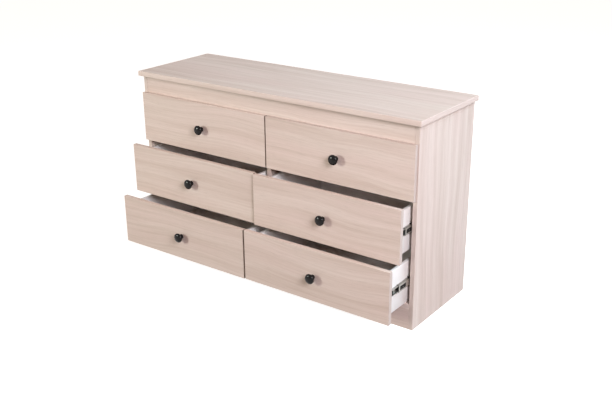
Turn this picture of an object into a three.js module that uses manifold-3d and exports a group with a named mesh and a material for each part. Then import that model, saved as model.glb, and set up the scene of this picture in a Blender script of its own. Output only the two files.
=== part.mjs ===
// Commode chest: a low chest of six drawers, three rows by two columns, made of wood-effect
// melamine board. The drawers run on telescopic ball slides and each has one black knob.
// Millimetres. X to the right seen from the front, Y to the back, Z up. The carcass is drawn
// with its front edges on Y = 0 and the floor on Z = 0, and moved to the origin at the end.

import * as THREE from "three";
import { mergeVertices } from "three/addons/utils/BufferGeometryUtils.js";
import Module from "manifold-3d";

const wasm = await Module();
wasm.setup();

// Carcass
const topWidth = 1200;
const topThickness = 18;
const chestHeight = 718;
const sideDepth = 366;
const boardThickness = 16;
const topSideOverhang = 12;
const backThickness = 3;
const backInset = 2;
const backJointGap = 2;
const edgeEase = 0.8;
const seam = 0.3;
const weldDistance = 0.001;

// Drawer fronts
const railShowing = 60.5;
const lowestFrontEdge = 82.5;
const rowGap = 2;
const columnGap = 4;
const sideReveal = 4;
const frontThickness = 16;

// Drawer boxes
const boxBoard = 12;
const boxRise = 12;
const boxBelowFrontTop = 24;
const boxFloorRoom = 3.5;
const boxHeadRoom = 7;
const bottomThickness = 3;
const bottomRise = 10;
const grooveDepth = 6;
const grooveSlack = 0.2;
const grooveEndRoom = 0.5;

// Knobs
const knobDrop = 3;
const knobHeadRadius = 17.5;
const knobNeckRadius = 6.5;
const knobFootRadius = 9;
const knobProjection = 28;
const knobFootDepth = 3;
const knobFootEase = 1.5;
const knobUndersideDepth = 8.5;
const knobCrown = 8.5;
const knobSides = 24;
const knobUndersideSteps = 5;
const knobCrownSteps = 5;

// Ball slides
const slideSpace = 12.7;
const slideSetback = 2;
const slideRearRoom = 14;
const slideRise = 79;
const slideSteel = 1.2;
const slideBend = 2.2;
const slideBendSteps = 2;
const cabinetMemberHeight = 35;
const cabinetMemberDepth = 10;
const memberRaceRoom = 3;
const drawerRaceRoom = 1.6;
const memberWebGap = 0.5;
const memberRunningGap = 0.4;
const intermediateShortfall = 6;
const drawerMemberShortfall = 4;
const joinOverlap = 2;
const accessSlotLength = 31;
const accessSlotWidth = 7;
const accessSlotSetback = 9;
const accessSlotEndSteps = 4;
const screwHoleWidth = 4.4;
const screwHoleSetback = 35;
const screwHolePitch = 128;
const cutOverrun = 1;

// How far each drawer stands open in the stored pose, top row first
const rows = [
  { name: "top", pulls: { left: 0, right: 0 } },
  { name: "middle", pulls: { left: 66.5, right: 75 } },
  { name: "bottom", pulls: { left: 133.5, right: 131.5 } },
];
const intermediateTravelShare = 0.5;

// Worked out from the sizes above
const carcassWidth = topWidth - 2 * topSideOverhang;
const innerWidth = carcassWidth - 2 * boardThickness;
const bayWidth = (innerWidth - boardThickness) / 2;
const bayCentre = (boardThickness + bayWidth) / 2;
const topUnderside = chestHeight - topThickness;
const backFace = sideDepth + seam + backThickness;
const topFrontOverhang = frontThickness + seam;

const frontWidth = (carcassWidth - 2 * sideReveal - columnGap) / 2;
const frontCentre = (columnGap + frontWidth) / 2;
const frontsTop = topUnderside - railShowing;
const frontHeight = (frontsTop - lowestFrontEdge - (rows.length - 1) * rowGap) / rows.length;
const rowPitch = frontHeight + rowGap;

const slideLength = sideDepth - slideSetback - slideRearRoom;
const boxWidth = bayWidth - 2 * slideSpace;
const boxDepth = slideSetback + slideLength;
const boxHeight = frontHeight - boxRise - boxBelowFrontTop;
const railHeight = railShowing + boxBelowFrontTop - boxHeadRoom;
const floorTop = lowestFrontEdge + boxRise - boxFloorRoom;
const plinthHeight = floorTop - boardThickness - seam;

const intermediateHeight = cabinetMemberHeight - 2 * (slideSteel + memberRaceRoom);
const intermediateStart = seam + slideSteel + memberWebGap;
const intermediateEnd = slideSpace - memberRunningGap;
const intermediateLength = slideLength - intermediateShortfall;
const drawerMemberHeight = intermediateHeight - 2 * (slideSteel + drawerRaceRoom);
const drawerMemberStart = intermediateStart + slideSteel + memberWebGap;

// Colours and finishes
const laminate = { color: 0xd9c8bd, roughness: 0.5, metalness: 0 };
const whiteBoard = { color: 0xf2f0ef, roughness: 0.45, metalness: 0 };
const hardboard = { color: 0x7a6253, roughness: 0.7, metalness: 0 };
const zincSteel = { color: 0xb9b7b2, roughness: 0.35, metalness: 1 };
const blackGloss = { color: 0x0c0c0d, roughness: 0.12, metalness: 0 };

function finish(look) {
  return new THREE.MeshStandardMaterial(look);
}

function piece(name, geometry, look, x, y, z) {
  const mesh = new THREE.Mesh(geometry, finish(look));
  mesh.name = name;
  mesh.position.set(x, y, z);
  return mesh;
}

// A board whose large faces have eased edges. Its thin side is X, Y or Z, and the geometry
// is centred on its own middle.
function easedBoard(sizeX, sizeY, sizeZ, thinAxis) {
  const spans = { x: [sizeZ, sizeY, sizeX], y: [sizeX, sizeZ, sizeY], z: [sizeX, sizeY, sizeZ] };
  const [across, along, thick] = spans[thinAxis];
  const halfAcross = across / 2 - edgeEase;
  const halfAlong = along / 2 - edgeEase;
  const outline = new THREE.Shape();
  outline.moveTo(-halfAcross, -halfAlong);
  outline.lineTo(halfAcross, -halfAlong);
  outline.lineTo(halfAcross, halfAlong);
  outline.lineTo(-halfAcross, halfAlong);
  outline.closePath();
  const geometry = new THREE.ExtrudeGeometry(outline, {
    depth: thick - 2 * edgeEase,
    bevelEnabled: true,
    bevelSize: edgeEase,
    bevelThickness: edgeEase,
    bevelSegments: 1,
  });
  geometry.translate(0, 0, edgeEase - thick / 2);
  if (thinAxis === "x") geometry.rotateY(Math.PI / 2);
  if (thinAxis === "y") geometry.rotateX(Math.PI / 2);
  return geometry;
}

// Turns a closed geometry into a solid that can be cut or joined, at a place.
function solid(geometry, x = 0, y = 0, z = 0) {
  const bare = geometry.clone().translate(x, y, z);
  bare.deleteAttribute("normal");
  bare.deleteAttribute("uv");
  const merged = mergeVertices(bare, weldDistance);
  return new wasm.Manifold(new wasm.Mesh({
    numProp: 3,
    vertProperties: new Float32Array(merged.attributes.position.array),
    triVerts: new Uint32Array(merged.index.array),
  }));
}

function fromSolid(body) {
  const mesh = body.getMesh();
  const geometry = new THREE.BufferGeometry();
  const corners = new Float32Array(mesh.numVert * 3);
  for (let i = 0; i < mesh.numVert; i += 1) {
    for (let axis = 0; axis < 3; axis += 1) {
      corners[3 * i + axis] = mesh.vertProperties[mesh.numProp * i + axis];
    }
  }
  geometry.setAttribute("position", new THREE.BufferAttribute(corners, 3));
  geometry.setIndex(new THREE.BufferAttribute(new Uint32Array(mesh.triVerts), 1));
  const split = geometry.toNonIndexed();
  split.computeVertexNormals();
  return split;
}

// Carcass
function carcass() {
  const group = new THREE.Group();
  const sideHeight = topUnderside - seam;
  const topDepth = topFrontOverhang + backFace;
  group.add(piece("top_panel", easedBoard(topWidth, topDepth, topThickness, "z"), laminate,
    0, topDepth / 2 - topFrontOverhang, chestHeight - topThickness / 2));

  for (const [name, hand] of [["left_side_panel", -1], ["right_side_panel", 1]]) {
    group.add(piece(name, easedBoard(boardThickness, sideDepth, sideHeight, "x"), laminate,
      hand * (carcassWidth - boardThickness) / 2, sideDepth / 2, sideHeight / 2));
  }

  const betweenSides = innerWidth - 2 * seam;
  const railCentreZ = sideHeight - railHeight / 2;
  group.add(piece("top_rail", easedBoard(betweenSides, boardThickness, railHeight, "y"),
    laminate, 0, boardThickness / 2, railCentreZ));
  group.add(piece("bottom_panel", easedBoard(betweenSides, sideDepth, boardThickness, "z"),
    laminate, 0, sideDepth / 2, floorTop - boardThickness / 2));
  for (const [name, y] of [["front_plinth", boardThickness / 2],
    ["rear_plinth", sideDepth - boardThickness / 2]]) {
    group.add(piece(name, easedBoard(betweenSides, boardThickness, plinthHeight, "y"),
      laminate, 0, y, plinthHeight / 2));
  }

  group.add(divider(sideHeight, railCentreZ));
  for (const [name, hand] of [["left_back_sheet", -1], ["right_back_sheet", 1]]) {
    const width = (carcassWidth - backJointGap) / 2 - backInset;
    const foot = floorTop - boardThickness;
    const height = sideHeight - foot;
    const sheet = new THREE.BoxGeometry(width, backThickness, height);
    group.add(piece(name, sheet, hardboard, hand * (width + backJointGap) / 2,
      backFace - backThickness / 2, foot + height / 2));
  }
  return group;
}

// The divider stands on the bottom panel and is notched at its top front for the rail.
function divider(sideHeight, railCentreZ) {
  const foot = floorTop + seam;
  const height = sideHeight - foot;
  const centre = new THREE.Vector3(0, sideDepth / 2, foot + height / 2);
  const body = easedBoard(boardThickness, sideDepth, height, "x");
  const notch = new THREE.BoxGeometry(innerWidth, 2 * (boardThickness + seam),
    railHeight + 2 * seam);
  const cut = solid(body).subtract(solid(notch, 0, -centre.y, railCentreZ - centre.z));
  return piece("centre_divider", fromSolid(cut), laminate, centre.x, centre.y, centre.z);
}

// The knob is turned about its own axis: a foot, a neck and a head that swells out to its
// rim and closes in a crown. The foot stands at the origin and the crown looks along -Y.
function knobGeometry() {
  const rim = knobProjection - knobCrown;
  const headStart = rim - knobUndersideDepth;
  const profile = [
    new THREE.Vector2(0, 0),
    new THREE.Vector2(knobFootRadius, 0),
    new THREE.Vector2(knobFootRadius, knobFootDepth),
    new THREE.Vector2(knobNeckRadius, knobFootDepth + knobFootEase),
  ];
  for (let i = 0; i < knobUndersideSteps; i += 1) {
    const turn = i / knobUndersideSteps * Math.PI / 2;
    const swell = (knobHeadRadius - knobNeckRadius) * Math.sin(turn);
    profile.push(new THREE.Vector2(knobNeckRadius + swell,
      headStart + knobUndersideDepth * (1 - Math.cos(turn))));
  }
  for (let i = 0; i < knobCrownSteps; i += 1) {
    const turn = i / knobCrownSteps * Math.PI / 2;
    profile.push(new THREE.Vector2(knobHeadRadius * Math.cos(turn),
      rim + knobCrown * Math.sin(turn)));
  }
  profile.push(new THREE.Vector2(0, knobProjection));
  const geometry = new THREE.LatheGeometry(profile, knobSides);
  geometry.rotateX(Math.PI);
  return geometry;
}

// Outline of bent sheet steel: a path of square corners, thickened inwards and with each
// bend rounded. It lies with slide depth on X, from the cabinet side, and height on Y.
function bentOutline(path, hand) {
  const inner = [];
  const outer = [];
  path.forEach((corner, i) => {
    const before = path[i - 1];
    const after = path[i + 1];
    if (!before || !after) {
      const [from, to] = before ? [before, corner] : [corner, after];
      const side = normalTo(from, to).multiplyScalar(slideSteel);
      outer.push(corner.clone());
      inner.push(corner.clone().add(side));
      return;
    }
    const into = new THREE.Vector2().subVectors(corner, before).normalize();
    const away = new THREE.Vector2().subVectors(after, corner).normalize();
    const hub = corner.clone().addScaledVector(away, slideBend).addScaledVector(into, -slideBend);
    for (let step = 0; step <= slideBendSteps; step += 1) {
      const turn = step / slideBendSteps * Math.PI / 2;
      const spoke = new THREE.Vector2().addScaledVector(away, -Math.cos(turn))
        .addScaledVector(into, Math.sin(turn));
      outer.push(hub.clone().addScaledVector(spoke, slideBend));
      inner.push(hub.clone().addScaledVector(spoke, slideBend - slideSteel));
    }
  });
  const points = outer.concat(inner.reverse());
  return new THREE.Shape(points.map((point) => new THREE.Vector2(hand * point.x, point.y)));
}

// Unit vector square to a stretch of the path, on its left.
function normalTo(from, to) {
  const along = new THREE.Vector2().subVectors(to, from).normalize();
  return new THREE.Vector2(-along.y, along.x);
}

// A channel whose web is at one depth and whose flanges run to the other, with lips turned
// in towards the middle where a lip tip height is given.
function channelGeometry({ web, open, height, lipTip, length, hand }) {
  const half = height / 2;
  const corners = [[web, half], [web, -half]];
  corners.unshift([open, half]);
  corners.push([open, -half]);
  if (lipTip) {
    corners.unshift([open, lipTip / 2]);
    corners.push([open, -lipTip / 2]);
  }
  const path = corners.map(([x, y]) => new THREE.Vector2(x, y));
  const clockwise = web > open;
  const outline = bentOutline(clockwise ? path.reverse() : path, hand);
  const geometry = new THREE.ExtrudeGeometry(outline, { depth: length, bevelEnabled: false });
  geometry.rotateX(Math.PI / 2);
  geometry.translate(0, length, 0);
  return geometry;
}

// Cuts openings with round ends through a member's web. Each is given by the place of its
// middle along Y, and lies on the middle of the web's height.
function withWebCuts(geometry, { web, hand, places, length, width }) {
  let body = solid(geometry);
  const straight = (length - width) / 2;
  const outline = new THREE.Shape();
  outline.absarc(straight, 0, width / 2, -Math.PI / 2, Math.PI / 2);
  outline.absarc(-straight, 0, width / 2, Math.PI / 2, 3 * Math.PI / 2);
  const cutter = new THREE.ExtrudeGeometry(outline, {
    depth: slideSteel + 2 * cutOverrun,
    bevelEnabled: false,
    curveSegments: accessSlotEndSteps,
  });
  cutter.translate(0, 0, -slideSteel / 2 - cutOverrun);
  cutter.rotateX(Math.PI / 2);
  cutter.rotateZ(Math.PI / 2);
  for (const place of places) {
    body = body.subtract(solid(cutter, hand * (web + slideSteel / 2), place, 0));
  }
  return fromSolid(body);
}

// Cabinet and intermediate members of one slide. The hand is 1 where the slide opens
// towards +X, and the place is the face of the board that carries it.
function slide(name, hand, faceX, centreZ, pull) {
  const group = new THREE.Group();
  group.position.set(faceX, slideSetback, centreZ);
  const cabinetMember = channelGeometry({
    web: seam,
    open: seam + cabinetMemberDepth,
    height: cabinetMemberHeight,
    lipTip: intermediateHeight + 2 * memberRunningGap,
    length: slideLength,
    hand,
  });
  const holes = [];
  for (let y = screwHoleSetback; y < slideLength - screwHoleWidth; y += screwHolePitch) {
    holes.push(y);
  }
  const drilled = withWebCuts(cabinetMember, {
    web: seam,
    hand,
    places: holes,
    length: screwHoleWidth,
    width: screwHoleWidth,
  });
  group.add(piece(`${name}_cabinet_member`, drilled, zincSteel, 0, 0, 0));
  const intermediate = channelGeometry({
    web: intermediateStart,
    open: intermediateEnd,
    height: intermediateHeight,
    lipTip: drawerMemberHeight + 2 * memberRunningGap,
    length: intermediateLength,
    hand,
  });
  const slotMiddle = accessSlotSetback + accessSlotLength / 2;
  const slotted = withWebCuts(intermediate, {
    web: intermediateStart,
    hand,
    places: [slotMiddle, intermediateLength - slotMiddle],
    length: accessSlotLength,
    width: accessSlotWidth,
  });
  group.add(piece(`${name}_intermediate_member`, slotted, zincSteel,
    0, -pull * intermediateTravelShare, 0));
  return group;
}

// Drawer box: one board folded to two sides and a back, with a groove for the bottom. The
// drawer members of its two slides are joined to its outer faces.
function boxGeometry() {
  const half = boxWidth / 2;
  const outline = new THREE.Shape();
  outline.moveTo(-half, 0);
  outline.lineTo(-half + boxBoard, 0);
  outline.lineTo(-half + boxBoard, boxDepth - boxBoard);
  outline.lineTo(half - boxBoard, boxDepth - boxBoard);
  outline.lineTo(half - boxBoard, 0);
  outline.lineTo(half, 0);
  outline.lineTo(half, boxDepth);
  outline.lineTo(-half, boxDepth);
  outline.closePath();
  const folded = new THREE.ExtrudeGeometry(outline, { depth: boxHeight, bevelEnabled: false });
  const groove = new THREE.BoxGeometry(bottomWidth() + 2 * grooveEndRoom,
    2 * (boxDepth - boxBoard + grooveDepth), bottomThickness + 2 * grooveSlack);
  let body = solid(folded).subtract(solid(groove, 0, 0, bottomRise + bottomThickness / 2));
  for (const hand of [-1, 1]) {
    const member = channelGeometry({
      web: slideSpace,
      open: drawerMemberStart,
      height: drawerMemberHeight,
      lipTip: 0,
      length: slideLength - drawerMemberShortfall,
      hand,
    });
    const backing = new THREE.BoxGeometry(2 * joinOverlap, slideLength - drawerMemberShortfall,
      drawerMemberHeight - 2 * slideBend);
    const reach = -hand * (half + slideSpace);
    const joined = solid(member, reach, slideSetback, slideRise).add(
      solid(backing, -hand * half, slideSetback + (slideLength - drawerMemberShortfall) / 2,
        slideRise));
    body = body.add(joined);
  }
  return fromSolid(body);
}

function bottomWidth() {
  return boxWidth - 2 * boxBoard + 2 * (grooveDepth - grooveEndRoom);
}

// Drawer front, with a stopped groove in its rear face for the drawer bottom. Its geometry
// is centred on its own middle, and the box lies off that middle by an offset.
function frontGeometry(boxOffset) {
  const body = easedBoard(frontWidth, frontThickness, frontHeight, "y");
  const groove = new THREE.BoxGeometry(bottomWidth() + 2 * grooveEndRoom, 2 * grooveDepth,
    bottomThickness + 2 * grooveSlack);
  const grooveZ = boxRise + bottomRise + bottomThickness / 2 - frontHeight / 2;
  const cut = solid(body).subtract(solid(groove, boxOffset, frontThickness / 2, grooveZ));
  return fromSolid(cut);
}

// One drawer. Its group stands at the middle of its bay, on the rear face of its front and
// at the lower edge of its front.
function drawer(name, hand, lowerEdge, pull) {
  const group = new THREE.Group();
  group.position.set(hand * bayCentre, -seam - pull, lowerEdge);
  const frontX = hand * (frontCentre - bayCentre);
  group.add(piece(`${name}_front`, frontGeometry(-frontX), laminate,
    frontX, -frontThickness / 2, frontHeight / 2));
  group.add(piece(`${name}_knob`, knobGeometry(), blackGloss,
    frontX, -frontThickness - seam, frontHeight / 2 - knobDrop));
  group.add(piece(`${name}_box`, boxGeometry(), whiteBoard, 0, seam, boxRise));
  const bottomDepth = boxDepth - boxBoard + seam + 2 * (grooveDepth - grooveEndRoom);
  const bottom = new THREE.BoxGeometry(bottomWidth(), bottomDepth, bottomThickness);
  group.add(piece(`${name}_bottom`, bottom, whiteBoard, 0,
    bottomDepth / 2 - grooveDepth + grooveEndRoom, boxRise + bottomRise + bottomThickness / 2));
  return group;
}

// Six drawers, each with a slide on the side panel and one on the divider
const chest = new THREE.Group();
chest.add(carcass());
rows.forEach((row, rowsAbove) => {
  const lowerEdge = frontsTop - frontHeight - rowsAbove * rowPitch;
  const slideZ = lowerEdge + boxRise + slideRise;
  for (const [column, hand] of [["left", -1], ["right", 1]]) {
    const name = `${row.name}_${column}`;
    const pull = row.pulls[column];
    const outerFace = hand * innerWidth / 2;
    const innerFace = hand * boardThickness / 2;
    chest.add(drawer(`${name}_drawer`, hand, lowerEdge, pull));
    chest.add(slide(`${name}_outer`, -hand, outerFace, slideZ, pull));
    chest.add(slide(`${name}_inner`, hand, innerFace, slideZ, pull));
  }
});

// The origin is under the middle of the chest's whole box, open drawers and knobs included.
const furthestPull = Math.max(...rows.flatMap((row) => Object.values(row.pulls)));
const frontMost = -2 * seam - furthestPull - frontThickness - knobProjection;
chest.position.y = -(frontMost + backFace) / 2;

export default chest;
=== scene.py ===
import math
import random

import bmesh
import bpy
from bpy.props import FloatProperty, FloatVectorProperty, IntProperty, PointerProperty
from bpy.types import Operator, Panel, PropertyGroup
from mathutils import Matrix, Vector


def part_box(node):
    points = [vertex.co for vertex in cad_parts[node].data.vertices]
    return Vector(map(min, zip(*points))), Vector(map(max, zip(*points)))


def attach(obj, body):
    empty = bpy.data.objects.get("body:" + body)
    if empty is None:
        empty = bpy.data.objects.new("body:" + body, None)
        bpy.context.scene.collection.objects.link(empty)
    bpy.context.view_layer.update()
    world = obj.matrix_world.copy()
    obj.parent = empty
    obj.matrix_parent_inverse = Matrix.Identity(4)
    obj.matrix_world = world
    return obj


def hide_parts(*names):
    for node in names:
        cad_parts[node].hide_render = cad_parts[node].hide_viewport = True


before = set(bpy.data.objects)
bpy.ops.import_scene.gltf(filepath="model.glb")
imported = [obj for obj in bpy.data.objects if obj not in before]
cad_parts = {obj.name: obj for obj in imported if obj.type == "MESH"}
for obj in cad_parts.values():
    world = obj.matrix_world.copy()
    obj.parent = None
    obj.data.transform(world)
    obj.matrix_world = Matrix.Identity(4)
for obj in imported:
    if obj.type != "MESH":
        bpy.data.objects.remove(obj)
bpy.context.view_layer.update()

bl_info = {
    "name": "Commode Chest",
    "version": (1, 0, 0),
    "blender": (4, 5, 0),
    "location": "View3D > Sidebar > Chest",
    "description": "Boards, drawers, ball slides and knobs of a six-drawer commode chest",
    "category": "Object",
}

ROWS = ("top", "middle", "bottom")
COLUMNS = ("left", "right")
SLIDE_PLACES = ("outer", "inner")
AXES = X_AXIS, Y_AXIS, Z_AXIS = 0, 1, 2
HANDS = (-1.0, 1.0)
QUARTER_TURN = math.pi / 2.0

# Material slots of a laminated board, and of the slides' small parts. The third slot is
# painted shade, a dark brown for the shade in the gap between the drawer columns; the fourth
# is a darker edge band, which on the top right front's top edge is painted shade
FACE_FINISH, EDGE_FINISH, GAP_SHADE_FINISH, DARK_BAND_AND_SHADE_FINISH = 0, 1, 2, 3
BLACK_PART, STEEL_PART = 0, 1

# Least part of a face's normal along an axis: for an edge band, and for an end's finish,
# which covers most of the rounding too
FLAT = 0.99
END_SLANT = 0.3

# Angles between faces from which the shading has a crease, and the bevels' round profile
BOARD_CREASE = math.radians(50.0)
ROUND_CREASE = math.radians(40.0)
STEEL_CREASE = math.radians(35.0)
ROUND_PROFILE = 0.5

# The stretch of printed paper that a board shows; the others take one from their name alone
PAPER_STRETCHES = {
    "top_board": 2,
    "top_rail_board": 3,
    "right_side_board": 9,
    "top_right_front_board": 2,
    "middle_left_front_board": 0,
    "middle_right_front_board": 3,
    "bottom_left_front_board": 0,
    "bottom_right_front_board": 12,
}
# How far from the paper's origin a stretch may lie on each axis, in metres
PAPER_REACH = 40.0

# Layers of noise: cells a metre on each axis, octaves of detail and, where it differs from
# the even one, the roughness. The grain's axes run along, across and through the paper.
EVEN_ROUGHNESS = 0.5
DRIFT = ((2.0, 3.0, 3.0), 1.0)
BROAD = ((1.1, 34.0, 34.0), 2.0)
FINE = ((3.2, 150.0, 150.0), 3.0, 0.55)
THREAD = ((9.0, 520.0, 520.0), 2.0)
PATCH = ((1.8, 11.0, 11.0), 2.0)
PORE = ((26.0, 1100.0, 1100.0), 1.0)
DRAWN_LINES = ((900.0, 6.0, 900.0), 2.0)

# Printed grain: how its layers become masks, and the masks colour, gloss and relief
FULL_RANGE = (0.0, 1.0)
NOISE_MIDDLE = 0.5
THREAD_GAIN = 0.7
STREAK_RANGE = (-0.55, 0.55)
PATCH_RANGE = (0.38, 0.62)
PORE_RANGE = (0.60, 0.70)
STREAK_HEIGHT = 0.4
STREAK_POWER = 1.3
PORE_STRENGTH = 0.30
PORE_TONE = 0.72
LIGHT_GLOSS = 0.04
STREAK_DULLNESS = 0.06
PAPER_RELIEF = 0.00004

# Mottled finishes: ranges of the mottle, its broad and close scales in cells a metre,
# gains on the colour, roughnesses, and reliefs in metres
MOTTLE_RANGE = (0.3, 0.7)
FIBRE_RANGE = (0.35, 0.65)
FIBRE_SCALES = (60.0, 900.0)
FIBRE_TONES = (0.72, 1.30)
FIBRE_ROUGHNESS = (0.5, 0.75)
FIBRE_RELIEF = 0.00006
THIN_PAINT_TONE = 0.96
PAINTED_SLANT = (0.4, 0.6)
BLOOM_SCALES = (45.0, 700.0)
BLOOM_TONE = 0.78
STEEL_ROUGHNESS = (0.26, 0.42)
STEEL_RELIEF = 0.00001

# Sockets of the colour mixing node, and the distance between nodes in the editor
MIX_FIRST, MIX_SECOND, MIX_RESULT = 6, 7, 2
NODE_STEP = 200

# Small turned pieces as (distance, radius) points, in shares of their height and radius
NAIL_PROFILE = ((-1.0, 0.0), (-1.0, 1.0), (0.5, 1.0), (0.9, 0.7), (0.9, 0.0))
CAM_PROFILE = ((0.0, 0.0), (0.0, 1.0), (0.6, 1.0), (1.0, 0.94), (1.0, 0.34), (-1.0, 0.26),
               (-1.0, 0.0))
PAN_HEAD = ((0.0, 1.02), (0.0, 1.0), (0.6, 1.0), (0.9, 0.8), (1.0, 0.5), (0.3, 0.3),
            (0.3, 0.0))
SCREW_PROFILE = ((0.0, 0.0), (0.0, 1.0), (0.55, 0.94), (0.9, 0.67), (1.0, 0.33),
                 (0.55, 0.2), (0.55, 0.0))
RIVET_PROFILE = ((0.0, 0.0), (0.0, 1.0), (1.0, 0.8), (1.0, 0.0))
NAIL_FACETS, CAM_FACETS, KNOB_SCREW_FACETS = 12, 24, 32
SLIDE_SCREW_FACETS, RIVET_FACETS = 20, 16

# The release lever as (along, across) points, in shares of its length and half width
LEVER_OUTLINE = ((0.0, -0.6), (0.17, -1.0), (0.78, -0.7), (1.0, 0.0), (0.78, 0.7),
                 (0.17, 1.0), (0.0, 0.6))

# Shares of another size: of the back sheet's thickness, the nail's radius, the cam's
# radius, the box's height, the knob foot's depth, the washer's and the screw's radius
SHEET_EASE = 0.1
NAIL_MARGIN = 2.5
CAM_HEIGHT = 0.05
CAM_PLACES = (0.28, 0.78)
FOOT_EASE = 0.15
WASHER_HEIGHT = 0.15
PAN_HEIGHT = 0.6

# Shares in the slides: of the gap between members (pad, covers and rivets), of the slide's
# space, of the cage's length, and of the room between two members (stop, strip and balls)
PAD_EASE = 0.5
PAD_EASE_STEPS = 2
COVER_DEPTHS = (0.1, 0.7)
RIVET_HEIGHT = 0.2
CAGE_DEPTH = 0.85
CAGE_STOP_LENGTH = 0.14
CAGE_STOP_HALF = 0.44
CAGE_STRIP_HALF = 0.2
BALL_RADIUS = 0.48
BALL_FACETS, BALL_RINGS = 10, 6

# Folded box: facets on each bend, and the distance under which two corners are one
FOLD_STEPS = 3
MERGE_DISTANCE = 1e-6

# Studio: cells of the floor, the camera's sensor in millimetres and its reach in metres
WHITE = (1.0, 1.0, 1.0)
FLOOR_CELLS = 8
SENSOR_WIDTH = 36.0
VIEW_REACH = 200.0


def drawers():
    """Column, the name's start and the body of each drawer, top row first."""
    for row in ROWS:
        for column in COLUMNS:
            name = f"{row}_{column}"
            yield column, name, f"{name}_drawer"


# Sizes and colours


class BoardSizes(PropertyGroup):
    """Edges of the laminated boards."""

    rounding: FloatProperty(
        name="Edge rounding",
        description="Radius of the edges of the upright boards and drawer fronts",
        default=0.0010, min=0.0002, max=0.004, unit="LENGTH")
    top_rounding: FloatProperty(
        name="Top edge rounding",
        description="Radius of the edges of the top panel",
        default=0.0016, min=0.0002, max=0.006, unit="LENGTH")
    rounding_steps: IntProperty(
        name="Rounding steps",
        description="Facets across each rounded edge",
        default=3, min=1, max=8)
    back_thickness: FloatProperty(
        name="Back sheet",
        description="Thickness of the hardboard back sheets",
        default=0.0026, min=0.002, max=0.0028, unit="LENGTH")
    nail_radius: FloatProperty(
        name="Nail head radius",
        description="Radius of the nail heads that hold the back sheets",
        default=0.0024, min=0.001, max=0.004, unit="LENGTH")
    nail_pitch: FloatProperty(
        name="Nail pitch",
        description="Greatest distance between two nails",
        default=0.11, min=0.03, max=0.3, unit="LENGTH")


class DrawerSizes(PropertyGroup):
    """Folded drawer boxes and their fittings."""

    box_board: FloatProperty(
        name="Box board",
        description="Thickness of the folded white board",
        default=0.012, min=0.009, max=0.016, unit="LENGTH")
    groove_depth: FloatProperty(
        name="Groove depth",
        description="Depth of the groove that holds the drawer bottom",
        default=0.006, min=0.003, max=0.008, unit="LENGTH")
    groove_room: FloatProperty(
        name="Groove room",
        description="Room past each edge of the bottom in its groove",
        default=0.0005, min=0.0001, max=0.001, unit="LENGTH")
    groove_slack: FloatProperty(
        name="Groove slack",
        description="Room above and below the bottom in its groove",
        default=0.0002, min=0.0, max=0.0005, unit="LENGTH")
    fold_rounding: FloatProperty(
        name="Fold rounding",
        description="Radius of the wrapped edges and of the two folded corners",
        default=0.0016, min=0.0005, max=0.004, unit="LENGTH")
    cam_radius: FloatProperty(
        name="Cam radius",
        description="Radius of the cams that pull the front onto the box",
        default=0.0075, min=0.004, max=0.01, unit="LENGTH")
    cam_setback: FloatProperty(
        name="Cam setback",
        description="Distance from the front to the middle of a cam",
        default=0.024, min=0.01, max=0.04, unit="LENGTH")


class KnobSizes(PropertyGroup):
    """The turned knobs and the screws that hold them."""

    foot_radius: FloatProperty(
        name="Foot radius", description="Radius of the foot on the drawer front",
        default=0.009, min=0.005, max=0.014, unit="LENGTH")
    foot_depth: FloatProperty(
        name="Foot depth", description="Thickness of the foot",
        default=0.003, min=0.001, max=0.006, unit="LENGTH")
    foot_ease: FloatProperty(
        name="Foot ease", description="Height of the slope from the foot to the neck",
        default=0.0015, min=0.0005, max=0.003, unit="LENGTH")
    neck_radius: FloatProperty(
        name="Neck radius", description="Radius of the narrow neck",
        default=0.0065, min=0.003, max=0.01, unit="LENGTH")
    underside_depth: FloatProperty(
        name="Underside depth", description="Depth of the swelling under the head's rim",
        default=0.0085, min=0.003, max=0.012, unit="LENGTH")
    crown: FloatProperty(
        name="Crown", description="Height of the crown over the head's rim",
        default=0.0085, min=0.003, max=0.012, unit="LENGTH")
    segments: IntProperty(
        name="Segments", description="Facets round the knob",
        default=64, min=24, max=128)
    curve_steps: IntProperty(
        name="Curve steps", description="Rings on the crown and on the underside",
        default=12, min=4, max=32)
    screw_radius: FloatProperty(
        name="Screw head radius", description="Radius of the knob screw's head",
        default=0.0040, min=0.002, max=0.006, unit="LENGTH")
    washer_radius: FloatProperty(
        name="Washer radius", description="Radius of the washer under the screw's head",
        default=0.0060, min=0.003, max=0.009, unit="LENGTH")


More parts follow.
